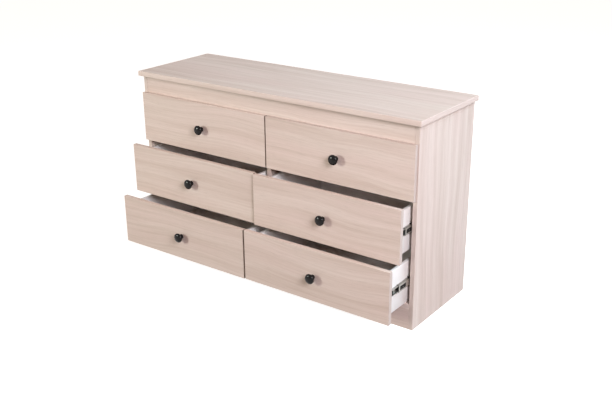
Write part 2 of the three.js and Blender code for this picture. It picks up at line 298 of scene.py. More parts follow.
class SlideSizes(PropertyGroup):
    """Bent steel members of the ball slides, measured from the board that carries them."""

    seam: FloatProperty(
        name="Seam", description="Gap between the carrying board and the cabinet member",
        default=0.0003, min=0.0, max=0.0005, unit="LENGTH")
    space: FloatProperty(
        name="Slide space", description="Room between the carcass and the drawer box",
        default=0.0127, min=0.012, max=0.014, unit="LENGTH")
    steel: FloatProperty(
        name="Sheet steel", description="Thickness of the bent steel",
        default=0.0012, min=0.0008, max=0.002, unit="LENGTH")
    bend: FloatProperty(
        name="Bend radius", description="Outer radius of each bend",
        default=0.0022, min=0.0013, max=0.004, unit="LENGTH")
    bend_steps: IntProperty(
        name="Bend steps", description="Facets round each bend",
        default=6, min=2, max=12)
    drawer_member_start: FloatProperty(
        name="Drawer member start", description="Depth at which the drawer member begins",
        default=0.0037, min=0.003, max=0.005, unit="LENGTH")
    race_room: FloatProperty(
        name="Drawer race room",
        description="Room for the balls between the drawer and intermediate members",
        default=0.0016, min=0.001, max=0.003, unit="LENGTH")
    member_gap: FloatProperty(
        name="Member gap", description="Running gap between two members' webs",
        default=0.0005, min=0.0002, max=0.001, unit="LENGTH")
    setback: FloatProperty(
        name="Setback", description="Distance from the carcass front to the slides",
        default=0.002, min=0.0, max=0.005, unit="LENGTH")
    shortfall: FloatProperty(
        name="Shortfall", description="How much shorter the drawer member is",
        default=0.004, min=0.0, max=0.01, unit="LENGTH")
    slot_setback: FloatProperty(
        name="Slot setback",
        description="Distance from the intermediate member's end to its slot",
        default=0.009, min=0.002, max=0.03, unit="LENGTH")
    slot_length: FloatProperty(
        name="Slot length", description="Length of the slot in the intermediate member",
        default=0.031, min=0.01, max=0.05, unit="LENGTH")
    screw_pitch: FloatProperty(
        name="Screw pitch", description="Distance between the slide screws",
        default=0.128, min=0.032, max=0.16, unit="LENGTH")
    screw_setback: FloatProperty(
        name="Screw setback", description="Distance from a member's end to its first screw",
        default=0.035, min=0.01, max=0.06, unit="LENGTH")
    stop_start: FloatProperty(
        name="Stop start", description="Distance from the drawer member's end to its stop",
        default=0.004, min=0.001, max=0.02, unit="LENGTH")
    stop_length: FloatProperty(
        name="Stop length", description="Length of the black front stop",
        default=0.030, min=0.01, max=0.06, unit="LENGTH")
    stop_thickness: FloatProperty(
        name="Stop thickness", description="Thickness of the black front stop",
        default=0.0046, min=0.001, max=0.007, unit="LENGTH")
    stop_bar: FloatProperty(
        name="Stop bar", description="Width of the front stop's upright bars",
        default=0.006, min=0.002, max=0.014, unit="LENGTH")
    stop_rim: FloatProperty(
        name="Stop rim", description="Width of the front stop's level rims",
        default=0.0025, min=0.001, max=0.008, unit="LENGTH")
    pad_step: FloatProperty(
        name="Pad step", description="How far the steel pad lies below the front stop",
        default=0.0008, min=0.0002, max=0.004, unit="LENGTH")
    lever_start: FloatProperty(
        name="Lever start", description="Distance from the drawer member's end to its lever",
        default=0.058, min=0.04, max=0.1, unit="LENGTH")
    lever_length: FloatProperty(
        name="Lever length", description="Length of the release lever",
        default=0.016, min=0.010, max=0.05, unit="LENGTH")
    lever_width: FloatProperty(
        name="Lever width", description="Greatest width of the release lever",
        default=0.009, min=0.004, max=0.014, unit="LENGTH")
    lever_thickness: FloatProperty(
        name="Lever thickness", description="Thickness of the release lever",
        default=0.0028, min=0.001, max=0.004, unit="LENGTH")
    screw_radius: FloatProperty(
        name="Slide screw radius", description="Radius of the slide screws' heads",
        default=0.0036, min=0.002, max=0.006, unit="LENGTH")
    screw_height: FloatProperty(
        name="Slide screw height", description="Height of the slide screws' heads",
        default=0.0022, min=0.001, max=0.004, unit="LENGTH")
    cover_length: FloatProperty(
        name="Slot cover length", description="Length of the black cover on each slot",
        default=0.036, min=0.01, max=0.05, unit="LENGTH")
    cover_width: FloatProperty(
        name="Slot cover width", description="Width of the black cover on each slot",
        default=0.014, min=0.004, max=0.018, unit="LENGTH")
    rivet_radius: FloatProperty(
        name="Rivet radius", description="Radius of the rivet in each slot cover",
        default=0.0012, min=0.0005, max=0.004, unit="LENGTH")
    cap_thickness: FloatProperty(
        name="End cap", description="Thickness of the black cap before each cabinet member",
        default=0.0012, min=0.0005, max=0.0018, unit="LENGTH")
    cage_length: FloatProperty(
        name="Cage length", description="Length of each ball cage",
        default=0.09, min=0.03, max=0.15, unit="LENGTH")
    ball_count: IntProperty(
        name="Balls", description="Balls in each race of a cage",
        default=6, min=2, max=12)


class FinishColours(PropertyGroup):
    """Colours of the finishes, in linear light."""

    laminate_light: FloatVectorProperty(
        name="Laminate, light", description="Light ground of the wood-effect paper",
        subtype="COLOR", size=3, min=0.0, max=1.0, default=(0.745, 0.648, 0.600))
    laminate_dark: FloatVectorProperty(
        name="Laminate, dark", description="Darker streaks of the wood-effect paper",
        subtype="COLOR", size=3, min=0.0, max=1.0, default=(0.575, 0.465, 0.410))
    laminate_blush: FloatVectorProperty(
        name="Laminate, blush", description="Pinkish patches of the wood-effect paper",
        subtype="COLOR", size=3, min=0.0, max=1.0, default=(0.725, 0.600, 0.560))
    foil: FloatVectorProperty(
        name="White foil", description="Foil round the drawer boxes",
        subtype="COLOR", size=3, min=0.0, max=1.0, default=(0.83, 0.815, 0.81))
    paint: FloatVectorProperty(
        name="White paint", description="Painted side of the drawer bottoms",
        subtype="COLOR", size=3, min=0.0, max=1.0, default=(0.88, 0.85, 0.83))
    hardboard: FloatVectorProperty(
        name="Hardboard", description="Bare side of the hardboard",
        subtype="COLOR", size=3, min=0.0, max=1.0, default=(0.400, 0.280, 0.200))
    # Painted shade: a dark brown on the fronts' inner ends that stands for the shade in the
    # gap between the columns
    gap_shade: FloatVectorProperty(
        name="Raw chipboard", description="Unbanded ends of the drawer fronts",
        subtype="COLOR", size=3, min=0.0, max=1.0, default=(0.200, 0.150, 0.120))
    steel: FloatVectorProperty(
        name="Zinc-plated steel", description="Bent steel of the slides",
        subtype="COLOR", size=3, min=0.0, max=1.0, default=(0.44, 0.42, 0.39))
    plastic: FloatVectorProperty(
        name="Black plastic", description="Ball cages, stops and levers",
        subtype="COLOR", size=3, min=0.0, max=1.0, default=(0.008, 0.007, 0.007))
    knob: FloatVectorProperty(
        name="Knob black", description="Gloss finish of the knobs",
        subtype="COLOR", size=3, min=0.0, max=1.0, default=(0.004, 0.003, 0.003))
    floor: FloatVectorProperty(
        name="Floor", description="Studio floor as it is seen",
        subtype="COLOR", size=3, min=0.0, max=1.0, default=(0.90, 0.90, 0.90))
    floor_bounce: FloatVectorProperty(
        name="Floor bounce", description="Studio floor as it throws light back",
        subtype="COLOR", size=3, min=0.0, max=1.0, default=(0.05, 0.02, 0.02))


class StudioSettings(PropertyGroup):
    """Camera and lamps of the studio."""

    aim: FloatVectorProperty(
        name="Lamp target", description="Point that the lamps are turned to",
        subtype="TRANSLATION", unit="LENGTH", size=3, default=(0.0, 0.10, 0.38))
    camera_place: FloatVectorProperty(
        name="Camera place", description="Where the camera stands",
        subtype="TRANSLATION", unit="LENGTH", size=3,
        default=(1.833440, -2.374270, 1.452529))
    camera_turn: FloatProperty(
        name="Camera turn", description="Turn of the view to the left of straight back",
        subtype="ANGLE", unit="ROTATION", default=0.633742)
    camera_tilt: FloatProperty(
        name="Camera tilt", description="Tilt of the view above level",
        subtype="ANGLE", unit="ROTATION", default=-0.371408)
    camera_roll: FloatProperty(
        name="Camera roll", description="Roll of the view about its own line",
        subtype="ANGLE", unit="ROTATION", default=-0.007878)
    focal_length: FloatProperty(
        name="Focal length", description="Focal length on a 36 mm sensor, in millimetres",
        default=52.3178, min=10.0, max=300.0)
    key_place: FloatVectorProperty(
        name="Key place", description="Where the lamp in front on the left hangs",
        subtype="TRANSLATION", unit="LENGTH", size=3, default=(-2.19, -3.02, 1.19))
    key_size: FloatProperty(
        name="Key size", description="Length of each side of the lamp in front on the left",
        default=0.7, min=0.1, max=3.0, unit="LENGTH")
    key_power: FloatProperty(
        name="Key lamp", description="Power of the lamp in front on the left, in watts",
        default=70.5, min=0.0, max=1000.0)
    key_colour: FloatVectorProperty(
        name="Key colour", description="Colour of the lamp in front on the left",
        subtype="COLOR", size=3, min=0.0, max=1.0, default=(0.945, 1.0, 0.908))
    window_place: FloatVectorProperty(
        name="Window place", description="Where the large lamp in front on the right hangs",
        subtype="TRANSLATION", unit="LENGTH", size=3, default=(2.99, -1.84, 2.20))
    window_size: FloatProperty(
        name="Window size",
        description="Length of each side of the large lamp in front on the right",
        default=1.4, min=0.1, max=4.0, unit="LENGTH")
    window_power: FloatProperty(
        name="Window lamp",
        description="Power of the large lamp in front on the right, in watts",
        default=135.0, min=0.0, max=1000.0)
    window_colour: FloatVectorProperty(
        name="Window colour", description="Colour of the large lamp in front on the right",
        subtype="COLOR", size=3, min=0.0, max=1.0, default=(0.993, 0.956, 1.0))
    rear_place: FloatVectorProperty(
        name="Rear place", description="Where the lamp behind on the right hangs",
        subtype="TRANSLATION", unit="LENGTH", size=3, default=(2.13, 1.59, 2.57))
    rear_size: FloatProperty(
        name="Rear size", description="Length of each side of the lamp behind on the right",
        default=2.0, min=0.1, max=4.0, unit="LENGTH")
    rear_power: FloatProperty(
        name="Rear lamp", description="Power of the lamp behind on the right, in watts",
        default=82.0, min=0.0, max=1000.0)
    rear_colour: FloatVectorProperty(
        name="Rear colour", description="Colour of the lamp behind on the right",
        subtype="COLOR", size=3, min=0.0, max=1.0, default=(0.63, 0.88, 1.0))
    ambient: FloatProperty(
        name="Ambient light", description="Strength of the light from all round",
        default=0.24, min=0.0, max=2.0)
    ambient_colour: FloatVectorProperty(
        name="Ambient colour", description="Colour of the light from all round",
        subtype="COLOR", size=3, min=0.0, max=1.0, default=(1.0, 0.53, 0.26))
    floor_size: FloatProperty(
        name="Floor size", description="Length of each side of the floor",
        default=60.0, min=5.0, max=200.0, unit="LENGTH")
    floor_lift: FloatProperty(
        name="Floor whiteness",
        description="Share of plain white in the floor as the camera sees it",
        subtype="FACTOR", default=0.40, min=0.05, max=0.95)
    floor_glow: FloatProperty(
        name="Floor glow",
        description="Brightness that the plain white adds to the floor as it is seen",
        default=0.91, min=0.0, max=2.0)


# Shader node helpers


def feed(tree, socket, given):
    """Links an output socket to an input socket, or sets the input's own value."""
    if isinstance(given, bpy.types.NodeSocket):
        tree.links.new(given, socket)
    else:
        socket.default_value = given


def add_node(tree, kind, inputs=None, **settings):
    """Adds a node with its settings. Each input is an output socket or a plain value."""
    node = tree.nodes.new(kind)
    for name, value in settings.items():
        setattr(node, name, value)
    for socket, given in (inputs or {}).items():
        feed(tree, node.inputs[socket], given)
    node.location = (NODE_STEP * len(tree.nodes), 0)
    return node


def math_node(tree, operation, first, second):
    """One arithmetic step on two inputs, each an output socket or a number."""
    return add_node(tree, "ShaderNodeMath", {0: first, 1: second},
                    operation=operation).outputs[0]


def remap(tree, source, given, wanted=FULL_RANGE):
    """The source's given range spread over the wanted range, without overshoot."""
    node = add_node(tree, "ShaderNodeMapRange", {
        "Value": source, "From Min": given[0], "From Max": given[1],
        "To Min": wanted[0], "To Max": wanted[1]})
    return node.outputs["Result"]


def mix_colour(tree, factor, first, second):
    """Blends two colours, each an output socket or a colour of three numbers."""
    inputs = {"Factor": factor}
    for socket, given in ((MIX_FIRST, first), (MIX_SECOND, second)):
        linked = isinstance(given, bpy.types.NodeSocket)
        inputs[socket] = given if linked else (*given, 1.0)
    return add_node(tree, "ShaderNodeMix", inputs, data_type="RGBA").outputs[MIX_RESULT]


def stretched_noise(tree, position, stretch, detail, roughness=EVEN_ROUGHNESS):
    """Noise whose grain follows a stretch along each axis, in cells a metre."""
    scaled_place = add_node(tree, "ShaderNodeVectorMath", {0: position, 1: stretch},
                            operation="MULTIPLY")
    noise = add_node(
        tree, "ShaderNodeTexNoise",
        {"Vector": scaled_place.outputs[0], "Scale": 1.0, "Detail": detail,
         "Roughness": roughness},
        noise_dimensions="3D")
    return noise.outputs[0]


def centred(tree, noise, gain):
    """A noise moved to lie about zero, times a gain."""
    return math_node(tree, "MULTIPLY", math_node(tree, "SUBTRACT", noise, NOISE_MIDDLE), gain)


def start_group(name, amounts, masks):
    """A new node group that takes a position and some amounts, and gives masks."""
    group = bpy.data.node_groups.new(name, "ShaderNodeTree")
    group.interface.new_socket("Position", in_out="INPUT", socket_type="NodeSocketVector")
    for label, default in amounts.items():
        socket = group.interface.new_socket(label, in_out="INPUT",
                                            socket_type="NodeSocketFloat")
        socket.default_value = default
    for label in masks:
        group.interface.new_socket(label, in_out="OUTPUT", socket_type="NodeSocketFloat")
    given = group.nodes.new("NodeGroupInput").outputs
    result = group.nodes.new("NodeGroupOutput").inputs
    return group, given, result


def use_group(tree, name, inputs):
    """Places a copy of a node group and gives its outputs."""
    return add_node(tree, "ShaderNodeGroup", inputs,
                    node_tree=bpy.data.node_groups[name]).outputs


def make_grain_group():
    """Printed wood grain. Position has the way along the grain on its first axis."""
    group, given, result = start_group(
        "Printed grain", {"Wander": 0.075, "Broad streaks": 1.6, "Fine streaks": 1.2},
        ("Streaks", "Patches", "Pores", "Relief"))
    drift = centred(group, stretched_noise(group, given["Position"], *DRIFT), given["Wander"])
    offset = add_node(group, "ShaderNodeCombineXYZ", {"Y": drift})
    waved = add_node(group, "ShaderNodeVectorMath",
                     {0: given["Position"], 1: offset.outputs[0]}, operation="ADD").outputs[0]
    broad = centred(group, stretched_noise(group, waved, *BROAD), given["Broad streaks"])
    fine = centred(group, stretched_noise(group, waved, *FINE), given["Fine streaks"])
    thread = centred(group, stretched_noise(group, waved, *THREAD), THREAD_GAIN)
    total = math_node(group, "ADD", math_node(group, "ADD", broad, fine), thread)
    streaks = remap(group, total, STREAK_RANGE)
    patches = remap(group, stretched_noise(group, waved, *PATCH), PATCH_RANGE)
    pores = remap(group, stretched_noise(group, waved, *PORE), PORE_RANGE)
    raised = math_node(group, "MULTIPLY", streaks, STREAK_HEIGHT)
    relief = math_node(group, "SUBTRACT", raised, pores)
    for label, source in (("Streaks", streaks), ("Patches", patches), ("Pores", pores),
                          ("Relief", relief)):
        group.links.new(source, result[label])


def make_mottle_group():
    """Slight unevenness of a smooth finish, in a broad and a close scale."""
    group, given, result = start_group(
        "Finish mottle", {"Broad scale": 12.0, "Close scale": 400.0}, ("Broad", "Close"))
    for label, scale, detail in (("Broad", "Broad scale", 3.0), ("Close", "Close scale", 2.0)):
        noise = add_node(
            group, "ShaderNodeTexNoise",
            {"Vector": given["Position"], "Scale": given[scale], "Detail": detail,
             "Roughness": EVEN_ROUGHNESS},
            noise_dimensions="3D")
        group.links.new(noise.outputs[0], result[label])


# Materials


def empty_tree(owner):
    """The cleared node tree of a material or a world."""
    owner.use_nodes = True
    owner.node_tree.nodes.clear()
    return owner.node_tree


def start_material(name, **shader_values):
    """The tree and the Principled shader of a new material."""
    tree = empty_tree(bpy.data.materials.new(name))
    shader = tree.nodes.new("ShaderNodeBsdfPrincipled")
    output = tree.nodes.new("ShaderNodeOutputMaterial")
    tree.links.new(shader.outputs[0], output.inputs["Surface"])
    for socket, value in shader_values.items():
        shader.inputs[socket.replace("_", " ")].default_value = value
    return tree, shader


def finish_shader(tree, shader, colour, roughness, height, relief):
    """Feeds a shader its colour, its roughness and a height over a relief in metres."""
    bump = add_node(tree, "ShaderNodeBump",
                    {"Height": height, "Strength": 1.0, "Distance": relief})
    for socket, source in (("Base Color", colour), ("Roughness", roughness),
                           ("Normal", bump.outputs[0])):
        tree.links.new(source, shader.inputs[socket])


def mottled(tree, broad, close):
    """A piece's own coordinates, and the mottle on them at two scales in cells a metre."""
    place = add_node(tree, "ShaderNodeTexCoord").outputs
    mottle = use_group(tree, "Finish mottle", {
        "Position": place["Object"], "Broad scale": broad, "Close scale": close})
    return place, mottle


def tinted(colour, gain):
    """A colour times a gain, with no part of it over one."""
    return [min(1.0, gain * part) for part in colour]


def laminate(name, colours, light_gain, streak_gain, roughness):
    """Wood-effect paper on board or edge band. Its grain follows the mesh's own layout."""
    tree, shader = start_material(name)
    laid = add_node(tree, "ShaderNodeAttribute", attribute_name="grain")
    grain = use_group(tree, "Printed grain", {"Position": laid.outputs["Vector"]})
    streak = [light + (dark - light) * streak_gain
              for light, dark in zip(colours.laminate_light, colours.laminate_dark)]
    dark = tinted(streak, light_gain)
    ground = mix_colour(tree, grain["Patches"], tinted(colours.laminate_light, light_gain),
                        tinted(colours.laminate_blush, light_gain))
    depth = math_node(tree, "POWER", grain["Streaks"], STREAK_POWER)
    streaked = mix_colour(tree, depth, ground, dark)
    pores = math_node(tree, "MULTIPLY", grain["Pores"], PORE_STRENGTH)
    colour = mix_colour(tree, pores, streaked, tinted(dark, PORE_TONE))
    gloss = remap(tree, grain["Streaks"], FULL_RANGE,
                  (roughness - LIGHT_GLOSS, roughness + STREAK_DULLNESS))
    finish_shader(tree, shader, colour, gloss, grain["Relief"], PAPER_RELIEF)


def smooth_finish(name, colour, roughness, tint, close, spread=0.05, relief=0.00001,
                  broad=12.0, **shader_values):
    """A plain colour with slight mottling in colour, gloss and surface."""
    tree, shader = start_material(name, **shader_values)
    _, mottle = mottled(tree, broad, close)
    tone = mix_colour(tree, mottle["Broad"], tinted(colour, 1.0 - tint),
                      tinted(colour, 1.0 + tint))
    gloss = remap(tree, mottle["Broad"], MOTTLE_RANGE,
                  (roughness - spread, roughness + spread))
    finish_shader(tree, shader, tone, gloss, mottle["Close"], relief)


def fibre_board(name, bare_colour, paint_colour=None):
    """Pressed board with a fibrous bare surface, painted above if a paint is given."""
    tree, shader = start_material(name)
    place, mottle = mottled(tree, *FIBRE_SCALES)
    total = math_node(tree, "ADD", mottle["Broad"], mottle["Close"])
    fibres = math_node(tree, "DIVIDE", total, 2.0)
    tones = [tinted(bare_colour, gain) for gain in FIBRE_TONES]
    colour = mix_colour(tree, remap(tree, fibres, FIBRE_RANGE), *tones)
    if paint_colour is not None:
        paint = mix_colour(tree, mottle["Broad"], tinted(paint_colour, THIN_PAINT_TONE),
                           paint_colour)
        facing = add_node(tree, "ShaderNodeSeparateXYZ", {0: place["Normal"]})
        above = remap(tree, facing.outputs["Z"], PAINTED_SLANT)
        colour = mix_colour(tree, above, colour, paint)
    gloss = remap(tree, fibres, MOTTLE_RANGE, FIBRE_ROUGHNESS)
    finish_shader(tree, shader, colour, gloss, fibres, FIBRE_RELIEF)


def plated_steel(name, colour):
    """Bright zinc-plated sheet with drawn lines along the slide and a faint bloom."""
    tree, shader = start_material(name, Metallic=1.0)
    place, mottle = mottled(tree, *BLOOM_SCALES)
    lines = stretched_noise(tree, place["Object"], *DRAWN_LINES)
    tone = mix_colour(tree, mottle["Broad"], colour, tinted(colour, BLOOM_TONE))
    gloss = remap(tree, mottle["Broad"], MOTTLE_RANGE, STEEL_ROUGHNESS)
    finish_shader(tree, shader, tone, gloss, lines, STEEL_RELIEF)


def make_materials(colours):
    """Builds every node group and material once."""
    make_grain_group()
    make_mottle_group()
    laminate("Laminate face", colours, light_gain=1.0, streak_gain=1.0, roughness=0.44)
    laminate("Laminate edge band", colours, light_gain=0.93, streak_gain=0.7, roughness=0.40)
    # A darker band: a darker tone on the fronts' outer ends, and painted shade on the top
    # right front's top edge, for the shade under the top's overhang
    laminate("Dull edge band", colours, light_gain=0.80, streak_gain=0.7, roughness=0.40)
    smooth_finish("White foil", colours.foil, roughness=0.38, tint=0.012, close=650.0)
    fibre_board("Painted hardboard", colours.hardboard, colours.paint)
    fibre_board("Bare hardboard", colours.hardboard)
    # Painted shade for the gap between the drawer columns, drawn as a dark fibrous board
    fibre_board("Raw chipboard", colours.gap_shade)
    plated_steel("Zinc-plated steel", colours.steel)
    smooth_finish("Black plastic", colours.plastic, roughness=0.55, tint=0.15, close=1500.0,
                  relief=0.00002, broad=90.0, Specular_IOR_Level=0.08)
    smooth_finish("Knob black", colours.knob, roughness=0.09, tint=0.2, close=900.0,
                  spread=0.02, relief=0.000004, broad=60.0, Specular_IOR_Level=0.20)


def finishes(*names):
    """The materials of these names, made first if need be."""
    if "Laminate face" not in bpy.data.materials:
        make_materials(bpy.context.scene.chest_colours)
    return [bpy.data.materials[name] for name in names]


# Mesh helpers


def add_piece(name, bm, materials, body, slot, *nodes, smooth_angle=None):
    """Turns a finished bmesh into a piece that rides on a body and may stand for nodes."""
    bmesh.ops.recalc_face_normals(bm, faces=bm.faces[:])
    mesh = bpy.data.meshes.new(name)
    bm.to_mesh(mesh)
    bm.free()
    for material in materials:
        mesh.materials.append(material)
    piece = bpy.data.objects.new(name, mesh)
    bpy.context.scene.collection.objects.link(piece)
    if smooth_angle is not None:
        mesh.polygons.foreach_set("use_smooth", [True] * len(mesh.polygons))
        mesh.set_sharp_from_angle(angle=smooth_angle)
    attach(piece, body)
    if nodes:
        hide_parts(*nodes)
    return piece


def finish_node(node, name):
    """Gives a packed node its finish."""
    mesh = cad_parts[node].data
    mesh.materials.clear()
    mesh.materials.append(*finishes(name))


def other_axes(axis):
    """The two axes besides this one."""
    return [other for other in AXES if other != axis]


def around(count):
    """Each place in a ring with the next one, and the last with the first."""
    return [(i, (i + 1) % count) for i in range(count)]


def rectangle(first, second):
    """Corners of a rectangle that spans a low and a high value on each of two axes."""
    return [(first[0], second[0]), (first[1], second[0]), (first[1], second[1]),
            (first[0], second[1])]


def scaled(shape, first, second):
    """A shape's points, scaled on each of the two axes."""
    return [(along * first, across * second) for along, across in shape]


def arc(centre, radius, start, end, steps):
    """Points of an arc between two angles, both ends included."""
    return [(centre[0] + radius * math.cos(start + (end - start) * i / steps),
             centre[1] + radius * math.sin(start + (end - start) * i / steps))
            for i in range(steps + 1)]


def prism(bm, outline, axis, start, end):
    """A closed outline of points on the other two axes, run along an axis."""
    others = other_axes(axis)
    rings = []
    for place in (start, end):
        ring = []
        for point in outline:
            corner = [0.0, 0.0, 0.0]
            corner[axis] = place
            corner[others[0]], corner[others[1]] = point
            ring.append(bm.verts.new(corner))
        rings.append(ring)
    near, far = rings
    made = [bm.faces.new(near), bm.faces.new(far)]
    made += [bm.faces.new((near[i], near[j], far[j], far[i])) for i, j in around(len(outline))]
    return made


def turned(bm, profile, origin, axis, direction, segments):
    """A profile of (distance, radius) points turned about an axis through the origin."""
    others = other_axes(axis)
    rings = []
    for distance, radius in profile:
        ring = []
        for i in range(segments if radius > 0.0 else 1):
            angle = 2.0 * math.pi * i / segments
            corner = list(origin)
            corner[axis] += direction * distance
            corner[others[0]] += radius * math.cos(angle)
            corner[others[1]] += radius * math.sin(angle)
            ring.append(bm.verts.new(corner))
        rings.append(ring)
    for near, far in zip(rings, rings[1:]):
        for i, j in around(segments):
            corners = [near[i % len(near)], near[j % len(near)],
                       far[j % len(far)], far[i % len(far)]]
            distinct = list(dict.fromkeys(corners))
            if len(distinct) > 2:
                bm.faces.new(distinct)


def lay_grain(piece, along, shift_seed):
    """Stores where each corner of the mesh lies on the printed paper: along the grain,
    across it and through it. Ends of the board carry a band whose grain runs the long way."""
    mesh = piece.data
    shifts = random.Random(shift_seed)
    shift = Vector([shifts.uniform(-PAPER_REACH, PAPER_REACH) for _ in AXES])
    low = [min(v.co[i] for v in mesh.vertices) for i in AXES]
    high = [max(v.co[i] for v in mesh.vertices) for i in AXES]
    laid = mesh.attributes.new("grain", "FLOAT_VECTOR", "CORNER")
    places = [0.0] * (len(AXES) * len(mesh.loops))
    for face in mesh.polygons:
        through = max(AXES, key=lambda i: abs(face.normal[i]))
        flat = other_axes(through)
        run = along if along in flat else max(flat, key=lambda i: high[i] - low[i])
        across = flat[0] if flat[1] == run else flat[1]
        for loop in face.loop_indices:
            co = mesh.vertices[mesh.loops[loop].vertex_index].co
            for i, axis in enumerate((run, across, through)):
                places[len(AXES) * loop + i] = co[axis] + shift[i]
    laid.data.foreach_set("vector", places)


def cut_recess(bm, face, thin, low, high, depth):
    """Sinks a rectangle between two corners into a flat face that looks along thin."""
    others = other_axes(thin)
    rim = {}
    for vert in face.verts:
        rim[tuple(vert.co[i] > (low[i] + high[i]) / 2.0 for i in others)] = vert
    level = face.verts[0].co[thin]
    sides = rectangle((False, True), (False, True))
    inner, floor = [], []
    for side in sides:
        corner = [0.0, 0.0, 0.0]
        for upper, axis in zip(side, others):
            corner[axis] = high[axis] if upper else low[axis]
        for ring, place in ((inner, level), (floor, level - depth)):
            corner[thin] = place
            ring.append(bm.verts.new(corner))
    bm.faces.remove(face)
    for i, j in around(len(sides)):
        bm.faces.new((rim[sides[i]], rim[sides[j]], inner[j], inner[i]))
        bm.faces.new((inner[i], inner[j], floor[j], floor[i]))
    bm.faces.new(floor)


def eased_board(node, name, body, along, rounding, outline=None, recess=None,
                edge="Laminate edge band", ends=()):
    """A laminated board in a node's place, with rounded edges, an edge band and grain.
    Ends are pairs of a direction and the finish of the faces that look that way."""
    low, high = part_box(node)
    span = high - low
    thin = min(AXES, key=lambda i: span[i])
    others = other_axes(thin)
    if outline is None:
        outline = rectangle(*((low[i], high[i]) for i in others))
    bm = bmesh.new()
    prism(bm, outline, thin, low[thin], high[thin])
    bmesh.ops.recalc_face_normals(bm, faces=bm.faces[:])
    bmesh.ops.bevel(bm, geom=bm.edges[:], offset=rounding,
                    segments=bpy.context.scene.chest_boards.rounding_steps,
                    profile=ROUND_PROFILE, affect="EDGES", clamp_overlap=True)
    for face in bm.faces:
        banded = max(abs(face.normal[i]) for i in others) > FLAT
        face.material_index = EDGE_FINISH if banded else FACE_FINISH
        for direction, finish in ends:
            if face.normal.dot(direction) > END_SLANT:
                face.material_index = finish
    if recess is not None:
        largest = sorted(bm.faces, key=lambda f: f.calc_area())[-2:]
        rear = max(largest, key=lambda f: f.calc_center_median()[thin])
        cut_recess(bm, rear, thin, *recess)
    materials = finishes("Laminate face", edge, "Raw chipboard", "Dull edge band")
    piece = add_piece(name, bm, materials, body, "laminate_board", node,
                      smooth_angle=BOARD_CREASE)
    piece.modifiers.new("Even shading", "WEIGHTED_NORMAL").keep_sharp = True
    stretch = f"{name} {PAPER_STRETCHES[name]}" if name in PAPER_STRETCHES else name
    lay_grain(piece, along, stretch)


# Operators


class CHEST_OT_carcass_boards(Operator):
    """Build the top, sides, rail, divider, bottom panel and plinths"""

    bl_idname = "chest.carcass_boards"
    bl_label = "Carcass Boards"

    def execute(self, context):
        sizes = context.scene.chest_boards
        eased_board("top_panel", "top_board", "carcass", X_AXIS, sizes.top_rounding,
                    edge="Laminate face")
        for side in COLUMNS:
            eased_board(f"{side}_side_panel", f"{side}_side_board", "carcass", Z_AXIS,
                        sizes.rounding)
        for node, name in (("top_rail", "top_rail_board"), ("bottom_panel", "bottom_board"),
                           ("front_plinth", "front_plinth_board"),
                           ("rear_plinth", "rear_plinth_board")):
            eased_board(node, name, "carcass", X_AXIS, sizes.rounding)
        low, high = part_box("centre_divider")
        rail_low, rail_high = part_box("top_rail")
        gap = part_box("top_panel")[0].z - high.z
        behind = rail_high.y + gap
        beneath = rail_low.z - gap
        notched = [(low.y, low.z), (high.y, low.z), (high.y, high.z), (behind, high.z),
                   (behind, beneath), (low.y, beneath)]
        eased_board("centre_divider", "divider_board", "carcass", Z_AXIS, sizes.rounding,
                    outline=notched)
        return {"FINISHED"}


class CHEST_OT_back_sheets(Operator):
    """Build the two nailed hardboard back sheets"""

    bl_idname = "chest.back_sheets"
    bl_label = "Back Sheets"

    def execute(self, context):
        sizes = context.scene.chest_boards
        for side in COLUMNS:
            node = f"{side}_back_sheet"
            low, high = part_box(node)
            face = low.y + sizes.back_thickness
            bm = bmesh.new()
            prism(bm, rectangle((low.x, high.x), (low.z, high.z)), Y_AXIS, low.y, face)
            bmesh.ops.bevel(bm, geom=bm.edges[:], offset=SHEET_EASE * sizes.back_thickness,
                            segments=1, affect="EDGES")
            add_piece(f"{side}_back_board", bm, finishes("Bare hardboard"), "carcass",
                      "hardboard", node)
            self.add_nails(side, low, high, face, sizes)
        return {"FINISHED"}

    def add_nails(self, side, low, high, face, sizes):
        """Nail heads along both upright edges and the lower edge of one sheet."""
        margin = NAIL_MARGIN * sizes.nail_radius
        left, foot = low.x + margin, low.z + margin
        wide = high.x - low.x - 2.0 * margin
        tall = high.z - low.z - 2.0 * margin
        columns = math.ceil(wide / sizes.nail_pitch)
        rows = math.ceil(tall / sizes.nail_pitch)
        places = []
        for i in range(rows + 1):
            height = foot + tall * i / rows
            places += [(left, height), (high.x - margin, height)]
        places += [(left + wide * i / columns, foot) for i in range(1, columns)]
        head = scaled(NAIL_PROFILE, high.y - face, sizes.nail_radius)
        bm = bmesh.new()
        for x, z in places:
            turned(bm, head, (x, face, z), Y_AXIS, 1.0, NAIL_FACETS)
        add_piece(f"{side}_back_nails", bm, finishes("Zinc-plated steel"), "carcass",
                  "slide_steel", smooth_angle=ROUND_CREASE)


class CHEST_OT_drawer_fronts(Operator):
    """Build the six laid-on drawer fronts, each with a groove for its bottom"""

    bl_idname = "chest.drawer_fronts"
    bl_label = "Drawer Fronts"

    def execute(self, context):
        sizes = context.scene.chest_drawers
        for column, name, body in drawers():
            front_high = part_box(f"{body}_front")[1]
            low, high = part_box(f"{body}_bottom")
            room = Vector((sizes.groove_room, 0.0, sizes.groove_slack))
            depth = front_high.y - low.y + sizes.groove_room
            inward = Vector((1.0 if column == "left" else -1.0, 0.0, 0.0))
            # The inner ends, in the gap between the columns, take painted shade; the outer
            # ends take the darker band
            ends = [(inward, GAP_SHADE_FINISH), (-inward, DARK_BAND_AND_SHADE_FINISH)]
            # Painted shade: the top right front's top edge is darkened for the shade under the
            # top's overhang
            if name == "top_right":
                ends.append((Vector((0.0, 0.0, 1.0)), DARK_BAND_AND_SHADE_FINISH))
            eased_board(f"{body}_front", f"{name}_front_board", body, X_AXIS,
                        context.scene.chest_boards.rounding,
                        recess=(low - room, high + room, depth), ends=ends)
        return {"FINISHED"}


